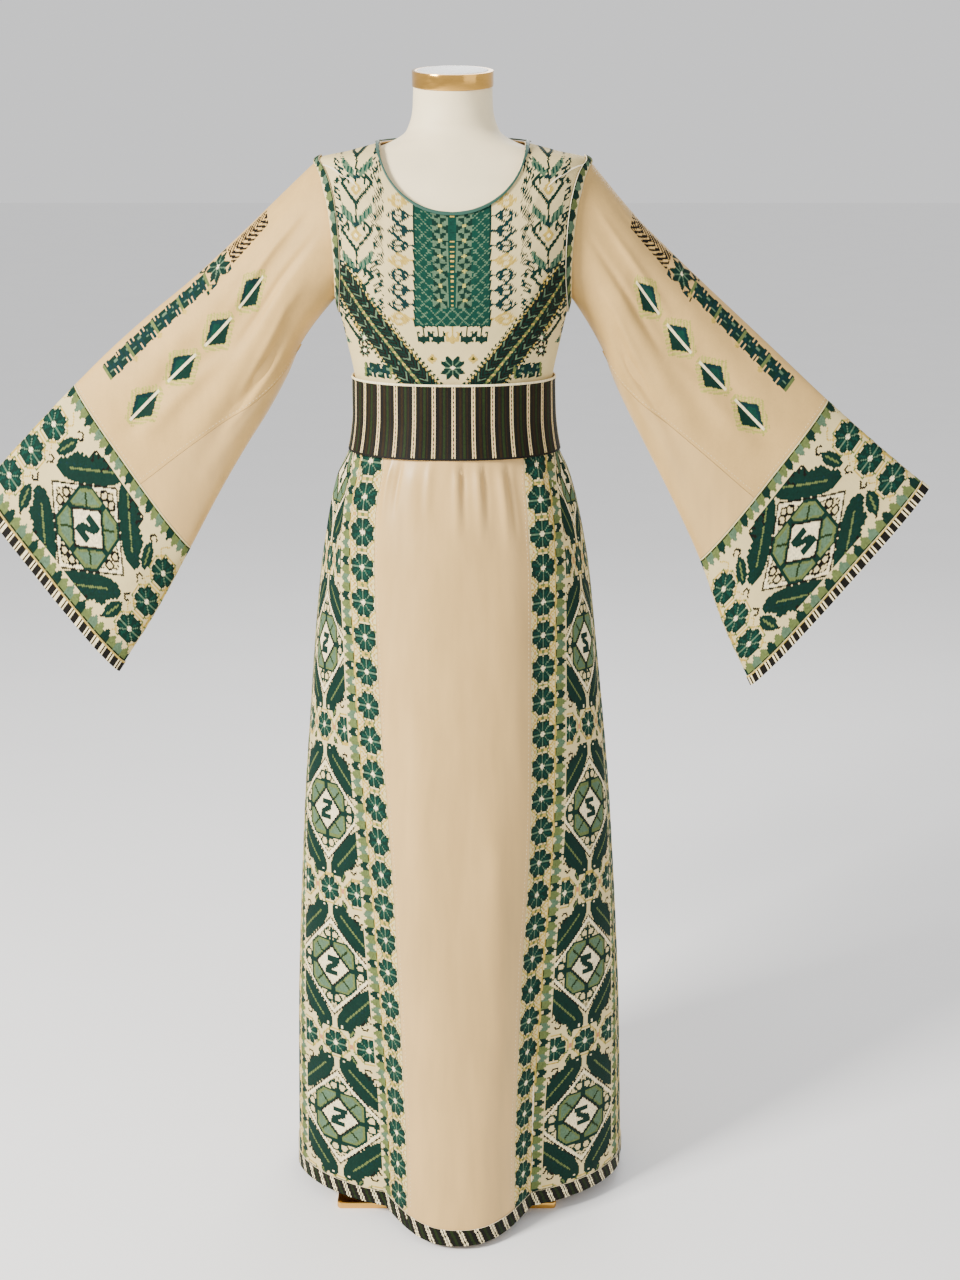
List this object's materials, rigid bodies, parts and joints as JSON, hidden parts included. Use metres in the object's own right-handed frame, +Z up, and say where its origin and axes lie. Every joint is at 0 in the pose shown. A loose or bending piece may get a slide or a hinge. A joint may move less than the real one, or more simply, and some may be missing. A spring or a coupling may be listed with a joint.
{
  "type": "thobe robe on a dress form",
  "caption": "Full-length embroidered thobe robe with wide winged sleeves, a striped belt and hem, on a limbless dress form with pole and flat base.",
  "frame": {"origin": "on the underside of the base plate, under the pole's axis", "axes": "+Z up along the pole, front of the robe towards -Y, +X to the viewer's right as seen from the front"},
  "size_m": [1.26, 0.4143, 1.5298],
  "materials": {
    "bodice_embroidery": "cross-stitch embroidery in greens on cream",
    "cream_satin": "soft cream satin",
    "green_binding": "dark green woven binding",
    "trim_embroidery": "saw-tooth embroidered strip",
    "sleeve_cloth": "cream cloth with embroidered motifs",
    "cuff_embroidery": "cross-stitch embroidery on cream",
    "striped_cloth": "dark striped woven binding",
    "belt_stripe": "dark striped woven belt",
    "skirt_embroidery": "cross-stitch embroidery in greens on cream",
    "form_cover": "smooth ivory cover",
    "gold_metal": "polished gold coloured metal",
    "cap_white": "pale cap"
  },
  "bodies": {
    "root": {"bodice_front": "bodice_embroidery", "bodice_back": "cream_satin", "neck_binding": "green_binding", "armhole_trim_left": "trim_embroidery", "armhole_trim_right": "trim_embroidery", "sleeve_left": "sleeve_cloth", "sleeve_right": "sleeve_cloth", "sleeve_gore_left": "sleeve_cloth", "sleeve_gore_right": "sleeve_cloth", "cuff_band_left": "cuff_embroidery", "cuff_band_right": "cuff_embroidery", "cuff_binding_left": "striped_cloth", "cuff_binding_right": "striped_cloth", "belt": "belt_stripe", "skirt_front": "cream_satin", "skirt_back": "cream_satin", "skirt_side_left": "skirt_embroidery", "skirt_side_right": "skirt_embroidery", "hem_band": "striped_cloth", "form_torso": "form_cover", "neck_cap_ring": "gold_metal", "neck_cap_disc": "cap_white", "pole": "gold_metal", "base_plate": "gold_metal"}
  },
  "joints": []
}
